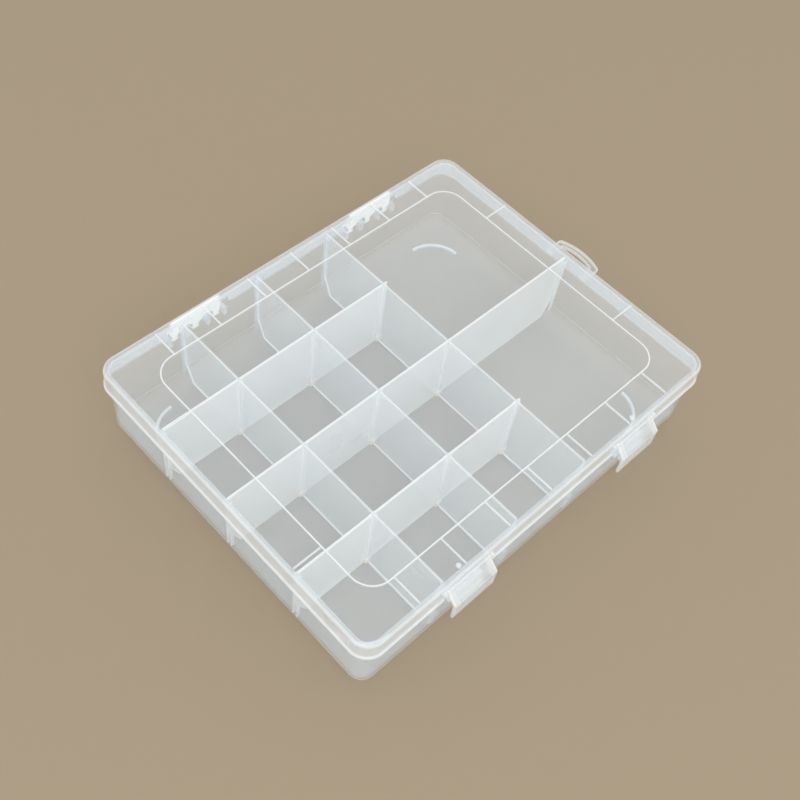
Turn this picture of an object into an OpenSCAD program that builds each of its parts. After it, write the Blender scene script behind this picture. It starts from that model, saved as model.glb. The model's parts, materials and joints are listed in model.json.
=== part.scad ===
// Shallow parts box with a hinged lid, two snap latches and lift-out dividers.
// Millimetres. The origin is the centre of the plane that the feet stand on.
// +X points at the hang loop, +Y at the hinges and +Z up.

/* [Tray] */
// Length of the tray over its walls
tray_l = 231.4; // [200:0.2:300]
// Width of the tray over its walls
tray_w = 186.4; // [160:0.2:260]
// Height of the tray's rim above the surface it stands on
rim_z = 48.6; // [47:0.1:80]
// Thickness of the tray's walls
wall = 1.3; // [1:0.1:2]
// Thickness of the tray's floor
floor_t = 1.3; // [1:0.1:2.5]
// Outer radius of the upright corners
corner_r = 7.6; // [7.2:0.1:14]
// Outer radius of the rounded lower edge
lower_edge_r = 7; // [3:0.1:7.1]

/* [Stacking feet] */
// Height of the curved feet below the floor
foot_h = 1; // [0.6:0.1:3]
// Width of the curved feet
foot_t = 1.5; // [1:0.1:3]
// Radius of the curved feet along their middle
foot_r = 17.9; // [15:0.1:19]

/* [Dividers] */
// Distance from one divider to the next
pitch = 47.4; // [38:0.1:52]
// Thickness of a divider
divider_t = 1.2; // [0.8:0.1:2]
// Space between a divider's top edge and the lid
divider_headroom = 0.4; // [0.3:0.1:3]
// Space between a divider's end and the wall
end_gap = 0.3; // [0.2:0.05:1]
// Space on each side of a divider in its slots
slot_gap = 0.15; // [0.1:0.01:0.4]
// Height of the slanted cut at a divider's lower corners
end_cut_h = 13; // [8:0.5:20]
// Length that a short divider runs on past the last cross divider
stub = 1.5; // [1:0.1:4]

/* [Guide ribs] */
// Thickness of a guide rib along the wall
guide_t = 1; // [0.8:0.1:2]
// Distance that a guide rib stands off the wall
guide_d = 1.6; // [1:0.1:3]
// Distance from the rim down to the top of a guide rib
guide_drop = 3; // [1:0.5:10]

/* [Lid] */
// Thickness of the lid's top
lid_t = 1.3; // [1:0.1:2]
// Gap between the closed lid and the rim
lid_seat_gap = 0.1; // [0.05:0.05:0.5]
// Thickness of the lid's skirt
skirt_t = 1.2; // [1:0.1:2]
// Space between the skirt and the tray all round
skirt_gap = 0.8; // [0.7:0.1:1.5]
// Height of the skirt from its lower edge to the lid's top face
skirt_h = 12; // [11:0.5:14]
// Radius of the lid's rounded upper edge
lid_edge_r = 1.8; // [0.8:0.1:2]
// Height of the bead along the skirt's lower edge
bead_h = 1.6; // [1:0.1:3]
// Distance that the bead stands off the skirt
bead_d = 0.8; // [0.4:0.1:1.5]

/* [Lid ridge and ribs] */
// Distance from the skirt's face in to the middle of the stacking ridge
ridge_inset = 18.6; // [16:0.1:26]
// Radius of the ridge's corners along its middle
ridge_r = 12; // [6:0.5:20]
// Width of the ridge
ridge_t = 1.2; // [0.8:0.1:3]
// Height of the ridge
ridge_h = 0.9; // [0.4:0.1:1.4]
// Distance between the ribs along the long sides
rib_pitch = 28.3; // [20:0.1:60]
// Distance from the lid's middle line to each rib on the short sides
side_rib_y = 45.5; // [20:0.5:60]
// Width of a rib
rib_t = 1; // [0.6:0.1:2]
// Height of a rib
rib_h = 0.6; // [0.3:0.1:1.2]
// Distance from a rib's outer end to the skirt's face
rib_end = 2.8; // [2.2:0.1:8]
// Distance from the tray's middle to the small boss by each latch
boss_x = 60; // [20:0.5:90]
// Radius of each small boss
boss_r = 1.4; // [0.8:0.1:2]

/* [Hang loop] */
// Distance that the loop reaches out past the bead
loop_reach = 13.8; // [10:0.1:20]
// Width of the loop along the lid's side
loop_w = 28.2; // [24:0.2:50]
// Width of the loop's band
loop_band = 3.9; // [2.5:0.1:5]
// Thickness of the loop
loop_t = 2; // [1.2:0.1:4]
// Radius of the loop's bowed outer edge
loop_bow_r = 34.3; // [30:0.1:80]
// Radius of the loop's outer corners
loop_corner_r = 2; // [1:0.1:3]

/* [Hinges] */
// Distance from the tray's middle to the middle of each hinge
hinge_x = 59.2; // [35:0.1:65]
// Distance from the tray's back wall to the hinge axis
hinge_off = 4.3; // [4:0.1:6]
// Distance from the skirt's lower edge down to the hinge axis
hinge_drop = 3.7; // [3.5:0.1:6]
// Radius of the hinge pin
pin_r = 1.25; // [1:0.05:1.4]
// Running clearance round the hinge pin
pin_gap = 0.1; // [0.05:0.01:0.2]
// Outer radius of a knuckle
knuckle_r = 3; // [2.6:0.1:3.2]
// Width of a knuckle
knuckle_w = 3.6; // [2:0.1:5]
// Distance from one knuckle to the next
knuckle_pitch = 12.9; // [10:0.1:14]
// Width of the mouth through which a knuckle snaps onto the pin
mouth_w = 2; // [1:0.1:2]
// Thickness of a pin support
support_t = 2.4; // [1.5:0.1:3]
// Radius of a pin support round the pin
support_r = 2.4; // [2:0.1:2.6]
// Distance from the middle of a hinge to its outer pin supports
support_x = 17.3; // [16:0.1:19]
// Length of the gap in the skirt at each hinge
hinge_notch_l = 42; // [40:0.5:50]
// Height of the gap in the skirt at each hinge
hinge_notch_h = 4; // [2:0.5:6]
// Thickness of the plate that joins the knuckles
web_t = 1.6; // [1:0.1:1.8]
// Distance from the lid's top face down to the plate's upper edge
web_drop = 3.5; // [2.5:0.1:5]

/* [Latches] */
// Distance from the tray's middle to the middle of each latch
latch_x = 57.7; // [30:0.1:80]
// Width of a latch
latch_w = 27; // [15:0.5:40]
// Thickness of a latch
latch_t = 1.5; // [1:0.1:1.8]
// Space on each side of a latch
latch_side_gap = 0.3; // [0.2:0.05:1]
// Distance from the lid's top face down to the latch's pivot
pivot_drop = 3.7; // [3.4:0.1:4]
// Distance that the pivot lies outside the skirt's face
pivot_out = 0.6; // [0.4:0.1:0.9]
// Radius of the barrel at the latch's pivot
barrel_r = 1.2; // [1:0.1:1.3]
// Radius of the pivot pins
pivot_pin_r = 0.7; // [0.5:0.05:0.8]
// Length of each pivot pin
pivot_pin_l = 1.6; // [1:0.1:2]
// Running clearance round the pivot pins
pivot_gap = 0.1; // [0.05:0.01:0.15]
// Width of the ear that holds a pivot pin
ear_t = 2; // [1.5:0.1:3]
// Distance from the pivot out to the latch's bend
bend_out = 5.5; // [5:0.1:6]
// Distance from the pivot down to the latch's bend
bend_down = 5.6; // [4:0.1:6.5]
// Distance that the tip lies outside the bend
tip_out = 0; // [0:0.1:2]
// Distance from the bend down to the latch's tip
tip_down = 11.6; // [10:0.1:16]
// Radius of the latch's lower corners
latch_corner_r = 1.2; // [0.8:0.1:5]
// Depth of the shallow panel on the latch's upper part
panel_d = 0.35; // [0.2:0.05:0.5]
// Distance from the panel's ends to the latch's ends
panel_inset = 3.5; // [2:0.1:6]
// Distance that the catch stands off the tray's front wall
catch_d = 3.4; // [2.5:0.1:3.6]
// Width of the catch
catch_w = 22; // [10:0.5:26]
// Thickness of the catch at its outer edge
catch_t = 1.6; // [1:0.1:2.5]
// Distance from the pivot down to the catch's lower face
catch_down = 12.7; // [12:0.1:13]
// Gap that lets the latch's hook pass the catch
hook_gap = 0.3; // [0.2:0.05:0.6]
// Width of the latch's hook
hook_w = 18; // [8:0.5:24]

/* [Hidden] */
$fn = 96;

// How far added shapes sink into what carries them, and cuts run past faces
sink = 0.4;
over = 1;

// Tray
floor_z = foot_h + floor_t;
inner_l = tray_l - 2 * wall;
inner_w = tray_w - 2 * wall;
inner_corner_r = corner_r - wall;
inner_edge_r = lower_edge_r - wall;

// Lid
lid_under_z = rim_z + lid_seat_gap;
lid_z = lid_under_z + lid_t;
skirt_z = lid_z - skirt_h;
skirt_in_l = tray_l + 2 * skirt_gap;
skirt_in_w = tray_w + 2 * skirt_gap;
skirt_in_r = corner_r + skirt_gap;
skirt_l = skirt_in_l + 2 * skirt_t;
skirt_w = skirt_in_w + 2 * skirt_t;
skirt_r = skirt_in_r + skirt_t;
bead_l = skirt_l + 2 * bead_d;
bead_w = skirt_w + 2 * bead_d;
bead_r = skirt_r + bead_d;
ridge_l = skirt_l - 2 * ridge_inset;
ridge_w = skirt_w - 2 * ridge_inset;
rib_from_y = ridge_w / 2;
rib_to_y = skirt_w / 2 - rib_end;
rib_steps = floor((ridge_l / 2 - ridge_r) / rib_pitch);
side_rib_from_x = ridge_l / 2;
side_rib_to_x = skirt_l / 2 - rib_end;
boss_h = ridge_h;
boss_y = rib_to_y - boss_r;

// Dividers
divider_top_z = lid_under_z - divider_headroom;
divider_h = divider_top_z - floor_z;
half_lap_z = floor_z + divider_h / 2;
edge_cell = inner_w / 2 - pitch;
cross_xs = [for (i = [0:2]) -inner_l / 2 + edge_cell + i * pitch];
long_ys = [for (i = [-1:1]) i * pitch];
left_end_x = -inner_l / 2 + end_gap;
right_end_x = inner_l / 2 - end_gap;
stub_end_x = cross_xs[2] + divider_t / 2 + slot_gap + stub;
front_end_y = -inner_w / 2 + end_gap;
back_end_y = inner_w / 2 - end_gap;
guide_top_z = rim_z - guide_drop;

// Hinges
hinge_y = tray_w / 2 + hinge_off;
hinge_z = skirt_z - hinge_drop;
hinge_xs = [-hinge_x, hinge_x];
web_y = skirt_w / 2 - sink;
web_w = 2 * knuckle_pitch + knuckle_w;
web_low_z = hinge_z + knuckle_r + 0.3;
scallop_w = knuckle_pitch - knuckle_w;

// Latches
latch_xs = [-latch_x, latch_x];
pivot_y = -skirt_w / 2 - pivot_out;
pivot_z = lid_z - pivot_drop;
bend_y = pivot_y - bend_out;
bend_z = pivot_z - bend_down;
tip_y = bend_y - tip_out;
tip_z = bend_z - tip_down;
ear_r = barrel_r;
notch_l = latch_w + 2 * latch_side_gap;
notch_top_z = pivot_z + barrel_r + 0.35;
catch_y = -tray_w / 2 - catch_d;
catch_z = pivot_z - catch_down;
hook_y = catch_y - hook_gap;
hook_z = catch_z - 0.6;
panel_len = norm([bend_out, bend_down]);

// Flat outline l by w with corners of radius r
module rounded_rect(l, w, r) {
    square([l - 2 * r, w], center = true);
    square([l, w - 2 * r], center = true);
    for (x = [-1, 1], y = [-1, 1])
        translate([x * (l / 2 - r), y * (w / 2 - r)])
            circle(r);
}

// Upright section w wide and h high whose two lower corners are round
module tub_section(w, h, edge_r) {
    translate([-w / 2, edge_r]) square([w, h - edge_r]);
    translate([-w / 2 + edge_r, 0]) square([w - 2 * edge_r, edge_r]);
    for (x = [-1, 1])
        translate([x * (w / 2 - edge_r), edge_r])
            circle(edge_r);
}

// Half of that section for an upright corner of radius r
module corner_section(r, h, edge_r) {
    translate([0, edge_r]) square([r, h - edge_r]);
    square([r - edge_r, edge_r]);
    translate([r - edge_r, 0])
        intersection() {
            translate([0, edge_r]) circle(edge_r);
            square(edge_r);
        }
}

// Block with round upright corners and a round lower edge, standing on z = 0
module tub(l, w, h, r, edge_r) {
    rotate([90, 0, 0])
        linear_extrude(w - 2 * r, center = true)
            tub_section(l, h, edge_r);
    rotate([90, 0, 90])
        linear_extrude(l - 2 * r, center = true)
            tub_section(w, h, edge_r);
    for (x = [-1, 1], y = [-1, 1])
        translate([x * (l / 2 - r), y * (w / 2 - r), 0])
            rotate_extrude()
                corner_section(r, h, edge_r);
}

// Extrudes a (y, z) outline along X, centred on x = 0
module along_x(length) {
    rotate([90, 0, 90])
        linear_extrude(length, center = true)
            children();
}

// Extrudes an (x, z) outline along Y, from y towards -Y
module along_y(y, length) {
    translate([0, y, 0])
        rotate([90, 0, 0])
            linear_extrude(length)
                children();
}

// Flat strip of thickness t between two points of an outline, with round ends
module strip(from, to, t) {
    along = (to - from) / norm(to - from);
    side = [-along[1], along[0]] * t / 2;
    polygon([from + side, to + side, to - side, from - side]);
    translate(from) circle(t / 2);
    translate(to) circle(t / 2);
}

// Pair of upright ribs on a wall whose face is at x = 0, with the tray at +x
module guide_pair() {
    reach = divider_t / 2 + slot_gap;
    for (y = [reach, -reach - guide_t])
        translate([-sink, y, floor_z - sink])
            cube([guide_d + sink, guide_t, guide_top_z - floor_z + sink]);
}

// Quarter-circle feet, one inside each corner of the lid's ridge
module feet() {
    for (x = [0, 1], y = [0, 1])
        mirror([x, 0, 0])
            mirror([0, y, 0])
                translate([ridge_l / 2 - ridge_r, ridge_w / 2 - ridge_r, 0])
                    rotate_extrude(angle = 90)
                        translate([foot_r - foot_t / 2, 0])
                            square([foot_t, foot_h + sink]);
}

// Pin and the supports that hold it behind the back wall
module hinge_bar() {
    along_x(2 * support_x + support_t)
        translate([hinge_y, hinge_z])
            circle(pin_r);
    for (x = [-support_x, -knuckle_pitch / 2, knuckle_pitch / 2, support_x])
        translate([x, 0, 0])
            along_x(support_t) {
                translate([hinge_y, hinge_z]) circle(support_r);
                translate([tray_w / 2 - sink, hinge_z - support_r])
                    square([hinge_off + sink, 2 * support_r]);
            }
}

// Ledge on the front wall that a latch hooks under. It is moulded with the tray
// and is a node of its own, so that the tray's wall stays a plain shape.
module catch_ledge(x) {
    color([0.86, 0.89, 0.91, 0.6])
        translate([x, 0, 0])
            along_x(catch_w)
                polygon([
                    [-tray_w / 2, catch_z + catch_t + catch_d / 2],
                    [catch_y, catch_z + catch_t],
                    [catch_y, catch_z],
                    [-tray_w / 2, catch_z]
                ]);
}

// Outside of the tray without its feet
module tray_block() {
    translate([0, 0, foot_h])
        tub(tray_l, tray_w, rim_z - foot_h, corner_r, lower_edge_r);
}

// Guide ribs on the four walls, at each end of each divider
module guides() {
    for (y = long_ys)
        translate([-inner_l / 2, y, 0]) guide_pair();
    translate([inner_l / 2, long_ys[1], 0])
        rotate([0, 0, 180]) guide_pair();
    for (x = cross_xs) {
        translate([x, -inner_w / 2, 0]) rotate([0, 0, 90]) guide_pair();
        translate([x, inner_w / 2, 0]) rotate([0, 0, -90]) guide_pair();
    }
}

module base_tray() {
    color([0.86, 0.89, 0.91, 0.6]) {
        difference() {
            tray_block();
            translate([0, 0, floor_z])
                tub(inner_l, inner_w, rim_z - floor_z + over, inner_corner_r, inner_edge_r);
        }
        intersection() {
            tray_block();
            guides();
        }
        feet();
        for (x = hinge_xs)
            translate([x, 0, 0]) hinge_bar();
    }
}

module catch_left() {
    catch_ledge(-latch_x);
}

module catch_right() {
    catch_ledge(latch_x);
}

// Raised rounded rectangle on the lid that the feet of the next box stand round
module ridge() {
    translate([0, 0, lid_z - sink])
        linear_extrude(ridge_h + sink)
            difference() {
                rounded_rect(ridge_l + ridge_t, ridge_w + ridge_t, ridge_r + ridge_t / 2);
                rounded_rect(ridge_l - ridge_t, ridge_w - ridge_t, ridge_r - ridge_t / 2);
            }
}

// Low ribs from the ridge out towards the skirt
module lid_ribs() {
    for (side = [-1, 1], i = [-rib_steps:rib_steps])
        translate([i * rib_pitch, side * (rib_from_y + rib_to_y) / 2, lid_z + (rib_h - sink) / 2])
            cube([rib_t, rib_to_y - rib_from_y, rib_h + sink], center = true);
    for (x = [-1, 1], y = [-1, 1])
        translate([
            x * (side_rib_from_x + side_rib_to_x) / 2,
            y * side_rib_y,
            lid_z + (rib_h - sink) / 2
        ])
            cube([side_rib_to_x - side_rib_from_x, rib_t, rib_h + sink], center = true);
}

// Outer outline of the hang loop, with its bowed edge and round corners
module loop_outline(reach, w, bow_r, r) {
    bow_x = bead_l / 2 + reach - bow_r;
    corner_y = w / 2 - r;
    corner_x = sqrt((bow_r - r) ^ 2 - corner_y ^ 2);
    bow_half = corner_y * bow_r / (bow_r - r);
    root_x = skirt_in_l / 2 + sink;
    intersection() {
        translate([bow_x, 0]) circle(bow_r);
        translate([root_x, -bow_half]) square([2 * reach, 2 * bow_half]);
    }
    for (y = [-1, 1])
        translate([bow_x + corner_x, y * corner_y]) circle(r);
    translate([root_x, -w / 2]) square([bow_x + corner_x - root_x, w]);
}

module hang_loop() {
    translate([0, 0, skirt_z])
        linear_extrude(loop_t)
            difference() {
                loop_outline(loop_reach, loop_w, loop_bow_r, loop_corner_r);
                intersection() {
                    loop_outline(loop_reach - loop_band, loop_w - 2 * loop_band,
                                 loop_bow_r - loop_band, loop_corner_r / 2);
                    translate([bead_l / 2, -loop_w]) square(2 * loop_w);
                }
            }
}

// Three snap-on knuckles and the plate that joins them to the skirt
module lid_knuckles() {
    difference() {
        translate([-web_w / 2, web_y, web_low_z])
            cube([web_w, web_t + sink, lid_z - web_drop - web_low_z]);
        for (x = [-1, 1])
            translate([x * knuckle_pitch / 2, 0, web_low_z])
                along_y(web_y + web_t + sink + over, web_t + sink + 2 * over)
                    translate([0, -scallop_w / 4]) circle(scallop_w / 2);
    }
    for (x = [-knuckle_pitch, 0, knuckle_pitch])
        translate([x, 0, 0])
            along_x(knuckle_w)
                difference() {
                    union() {
                        translate([hinge_y, hinge_z]) circle(knuckle_r);
                        polygon([
                            [web_y, web_low_z + knuckle_r],
                            [web_y + web_t + sink, web_low_z + knuckle_r],
                            [hinge_y + knuckle_r * 0.8, hinge_z + knuckle_r * 0.6],
                            [hinge_y, hinge_z],
                            [web_y, hinge_z + knuckle_r * 0.6]
                        ]);
                    }
                    translate([hinge_y, hinge_z]) circle(pin_r + pin_gap);
                    translate([hinge_y - 2 * knuckle_r, hinge_z - mouth_w / 2])
                        square([2 * knuckle_r, mouth_w]);
                }
}

// Ears beside a latch, bored for its pivot pins
module latch_ears() {
    for (side = [-1, 1])
        translate([side * (notch_l + ear_t) / 2, 0, 0])
            along_x(ear_t)
                difference() {
                    union() {
                        translate([pivot_y, pivot_z]) circle(ear_r);
                        translate([pivot_y, pivot_z - ear_r])
                            square([pivot_out + skirt_t / 2, 2 * ear_r]);
                    }
                    translate([pivot_y, pivot_z]) circle(pivot_pin_r + pivot_gap);
                }
}

// Skirt and top of the lid, open at the latches and the hinges
module lid_shell() {
    difference() {
        union() {
            translate([0, 0, lid_z])
                mirror([0, 0, 1])
                    tub(skirt_l, skirt_w, skirt_h, skirt_r, lid_edge_r);
            translate([0, 0, skirt_z])
                linear_extrude(bead_h)
                    rounded_rect(bead_l, bead_w, bead_r);
        }
        translate([0, 0, skirt_z - over])
            linear_extrude(lid_under_z - skirt_z + over)
                rounded_rect(skirt_in_l, skirt_in_w, skirt_in_r);
        for (x = latch_xs)
            translate([x - notch_l / 2, -bead_w / 2 - over, skirt_z - over])
                cube([notch_l, skirt_t + bead_d + 2 * over, notch_top_z - skirt_z + over]);
        for (x = hinge_xs)
            translate([x - hinge_notch_l / 2, skirt_in_w / 2 - over, skirt_z - over])
                cube([hinge_notch_l, skirt_t + bead_d + 2 * over, hinge_notch_h + over]);
        for (x = latch_xs, side = [-1, 1])
            translate([x + side * (notch_l / 2 + pivot_pin_l / 2), pivot_y, pivot_z])
                rotate([0, 90, 0])
                    cylinder(h = pivot_pin_l + sink, r = pivot_pin_r + pivot_gap, center = true);
    }
}

module lid() {
    color([0.9, 0.93, 0.95, 0.45]) {
        lid_shell();
        ridge();
        lid_ribs();
        hang_loop();
        for (x = [-boss_x, boss_x])
            translate([x, -boss_y, lid_z - sink])
                cylinder(h = boss_h + sink, r = boss_r);
        for (x = hinge_xs)
            translate([x, 0, 0]) lid_knuckles();
        for (x = latch_xs)
            translate([x, 0, 0]) latch_ears();
    }
}

// Bent strip with a pivot barrel at its top
module latch_outline() {
    pivot = [pivot_y, pivot_z];
    bend = [bend_y, bend_z];
    translate(pivot) circle(barrel_r);
    strip(pivot, bend, latch_t);
    strip(bend, [tip_y, tip_z + latch_t / 2], latch_t);
}

// Wedge on the strip's inner face that catches under the ledge
module hook_outline() {
    polygon([
        [bend_y, hook_z + 1.6],
        [hook_y, hook_z],
        [hook_y, hook_z - 0.7],
        [bend_y, hook_z - 2.2]
    ]);
}

// Front view of a latch, with round lower corners
module latch_front() {
    top_z = pivot_z + barrel_r + over;
    translate([-latch_w / 2, tip_z + latch_corner_r])
        square([latch_w, top_z - tip_z - latch_corner_r]);
    translate([-latch_w / 2 + latch_corner_r, tip_z])
        square([latch_w - 2 * latch_corner_r, latch_corner_r]);
    for (x = [-1, 1])
        translate([x * (latch_w / 2 - latch_corner_r), tip_z + latch_corner_r])
            circle(latch_corner_r);
}

module latch(x) {
    color([0.93, 0.95, 0.96, 0.8])
        translate([x, 0, 0]) {
            difference() {
                intersection() {
                    along_x(latch_w) latch_outline();
                    along_y(pivot_y + 2 * barrel_r, bend_out + tip_out + 4 * barrel_r) latch_front();
                }
                translate([0, pivot_y, pivot_z])
                    rotate([-atan2(bend_out, bend_down), 0, 0])
                        translate([0, -latch_t / 2, -panel_len / 2 - barrel_r / 2])
                            cube([
                                latch_w - 2 * panel_inset,
                                2 * panel_d,
                                panel_len - 2 * barrel_r
                            ], center = true);
            }
            along_x(hook_w) hook_outline();
            translate([0, pivot_y, pivot_z])
                rotate([0, 90, 0])
                    cylinder(h = notch_l + 2 * (pivot_pin_l - sink), r = pivot_pin_r, center = true);
        }
}

module latch_left() {
    latch(-latch_x);
}

module latch_right() {
    latch(latch_x);
}

// Divider outline: a panel from a to b, cut on a slant where it meets a wall
module divider_outline(a, b, cut_a, cut_b) {
    polygon(concat(
        [[a, divider_top_z]],
        cut_a ? [[a, floor_z + end_cut_h], [a + inner_edge_r, floor_z]] : [[a, floor_z]],
        cut_b ? [[b - inner_edge_r, floor_z], [b, floor_z + end_cut_h]] : [[b, floor_z]],
        [[b, divider_top_z]]
    ));
}

// Slots at the crossings, from z_from up to z_to
module crossing_slots(places, z_from, z_to) {
    w = divider_t + 2 * slot_gap;
    for (p = places)
        translate([p - w / 2, z_from]) square([w, z_to - z_from]);
}

// Panel along the tray, slotted from above at the cross dividers
module divider_long(y, end_x, cut_end) {
    color([0.95, 0.96, 0.97, 0.85])
        along_y(y + divider_t / 2, divider_t)
            difference() {
                divider_outline(left_end_x, end_x, true, cut_end);
                crossing_slots(cross_xs, half_lap_z - slot_gap, divider_top_z + over);
            }
}

// Panel across the tray, slotted from below at the long dividers
module divider_cross(x) {
    color([0.88, 0.92, 0.95, 0.7])
        translate([x, 0, 0])
            along_x(divider_t)
                difference() {
                    divider_outline(front_end_y, back_end_y, true, true);
                    crossing_slots(long_ys, floor_z - over, half_lap_z + slot_gap);
                }
}

module divider_long_back() {
    divider_long(long_ys[2], stub_end_x, false);
}

module divider_long_middle() {
    divider_long(long_ys[1], right_end_x, true);
}

module divider_long_front() {
    divider_long(long_ys[0], stub_end_x, false);
}

module divider_cross_left() {
    divider_cross(cross_xs[0]);
}

module divider_cross_middle() {
    divider_cross(cross_xs[1]);
}

module divider_cross_right() {
    divider_cross(cross_xs[2]);
}

base_tray();
catch_left();
catch_right();
lid();
latch_left();
latch_right();
divider_long_back();
divider_long_middle();
divider_long_front();
divider_cross_left();
divider_cross_middle();
divider_cross_right();
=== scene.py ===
"""Looks for the lidded parts box: rounded mouldings in milky-clear plastic on a plain floor."""

import json
import math

import bpy
import numpy as np
from mathutils import Matrix, Vector


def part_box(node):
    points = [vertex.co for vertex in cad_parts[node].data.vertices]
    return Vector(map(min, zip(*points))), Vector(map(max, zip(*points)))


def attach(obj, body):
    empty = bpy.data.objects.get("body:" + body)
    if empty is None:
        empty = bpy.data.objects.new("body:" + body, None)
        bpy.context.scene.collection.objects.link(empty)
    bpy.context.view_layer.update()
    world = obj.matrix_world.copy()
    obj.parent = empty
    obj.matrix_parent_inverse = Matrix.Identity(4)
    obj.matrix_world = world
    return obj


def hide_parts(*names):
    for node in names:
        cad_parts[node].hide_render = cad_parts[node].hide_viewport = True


bl_info = {
    "name": "Parts Box Looks",
    "version": (1, 0, 0),
    "blender": (4, 2, 0),
    "location": "View3D > Sidebar > Parts Box",
    "description": "Builds the visible mouldings of a lidded parts box around its CAD frame",
    "category": "Object",
}

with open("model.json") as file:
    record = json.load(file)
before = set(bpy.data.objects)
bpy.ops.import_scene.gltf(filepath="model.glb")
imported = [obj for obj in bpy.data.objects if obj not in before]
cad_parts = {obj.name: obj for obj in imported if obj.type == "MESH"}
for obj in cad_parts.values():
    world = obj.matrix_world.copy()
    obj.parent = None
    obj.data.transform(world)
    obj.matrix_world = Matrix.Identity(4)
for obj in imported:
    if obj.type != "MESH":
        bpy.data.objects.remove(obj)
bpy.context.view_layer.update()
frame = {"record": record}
MM = 0.001


def cad_box(node):
    """Lowest and highest corner of a CAD node as numpy arrays, in metres."""
    low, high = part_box(node)
    return np.array(low), np.array(high)


TRAY_LOW, TRAY_HIGH = cad_box("base_tray")
LID_LOW, LID_HIGH = cad_box("lid")
# The hinges stand off the tray's back wall, so its width comes from the front one.
TRAY_HALF = np.array([TRAY_HIGH[0], -TRAY_LOW[1]])
JOINT_AT = {j["name"]: np.array(j["pos_m"]) for j in frame["record"]["behaviour"]["joints"]}
LONG_DIVIDERS = ("divider_long_front", "divider_long_middle", "divider_long_back")
CROSS_DIVIDERS = ("divider_cross_left", "divider_cross_middle", "divider_cross_right")
SIDES = (-1, 1)
# How far a plate's bright edge takes to fade into its face
SOFT = 0.45 * MM


# ---------------------------------------------------------------- properties


class BOX_PG_sizes(bpy.types.PropertyGroup):
    """Sizes of the mouldings that the CAD boxes do not give."""

    wall: bpy.props.FloatProperty(
        name="Wall", description="Thickness of the tray's walls and floor",
        default=1.3 * MM, unit="LENGTH")
    foot: bpy.props.FloatProperty(
        name="Foot height", description="Height of the curved feet",
        default=1.0 * MM, unit="LENGTH")
    corner: bpy.props.FloatProperty(
        name="Corner radius", description="Outer radius of the tray's upright corners",
        default=7.6 * MM, unit="LENGTH")
    lower_edge: bpy.props.FloatProperty(
        name="Lower edge radius", description="Radius of the tray's rounded lower edge",
        default=7.0 * MM, unit="LENGTH")
    skirt_gap: bpy.props.FloatProperty(
        name="Skirt gap", description="Space between the lid's skirt and the tray",
        default=0.8 * MM, unit="LENGTH")
    skirt: bpy.props.FloatProperty(
        name="Skirt thickness", description="Thickness of the lid's skirt",
        default=1.2 * MM, unit="LENGTH")
    skirt_height: bpy.props.FloatProperty(
        name="Skirt height", description="Height of the lid's skirt",
        default=12.0 * MM, unit="LENGTH")
    lid_top: bpy.props.FloatProperty(
        name="Lid top", description="Height of the lid's flat top face",
        default=50.0 * MM, unit="LENGTH")
    lid_wall: bpy.props.FloatProperty(
        name="Lid thickness", description="Thickness of the lid's top",
        default=1.3 * MM, unit="LENGTH")
    lid_edge: bpy.props.FloatProperty(
        name="Lid edge radius", description="Radius of the lid's rounded upper edge",
        default=1.8 * MM, unit="LENGTH")
    bead: bpy.props.FloatProperty(
        name="Bead", description="Distance that the bead stands off the skirt",
        default=0.8 * MM, unit="LENGTH")
    bead_height: bpy.props.FloatProperty(
        name="Bead height", description="Height of the bead along the skirt's lower edge",
        default=1.6 * MM, unit="LENGTH")
    ridge_in: bpy.props.FloatProperty(
        name="Ridge inset", description="Distance from the lid's skirt in to the raised ridge",
        default=18.6 * MM, unit="LENGTH")
    ridge_corner: bpy.props.FloatProperty(
        name="Ridge corner", description="Corner radius of the lid's raised ridge",
        default=12.0 * MM, unit="LENGTH")
    edge_round: bpy.props.FloatProperty(
        name="Edge rounding", description="Rounding of the moulded edges",
        default=0.22 * MM, unit="LENGTH")
    hinge_x: bpy.props.FloatProperty(
        name="Hinge place", description="Distance from the middle to each hinge",
        default=59.2 * MM, unit="LENGTH")
    latch_x: bpy.props.FloatProperty(
        name="Latch place", description="Distance from the middle to each latch",
        default=57.7 * MM, unit="LENGTH")


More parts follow.
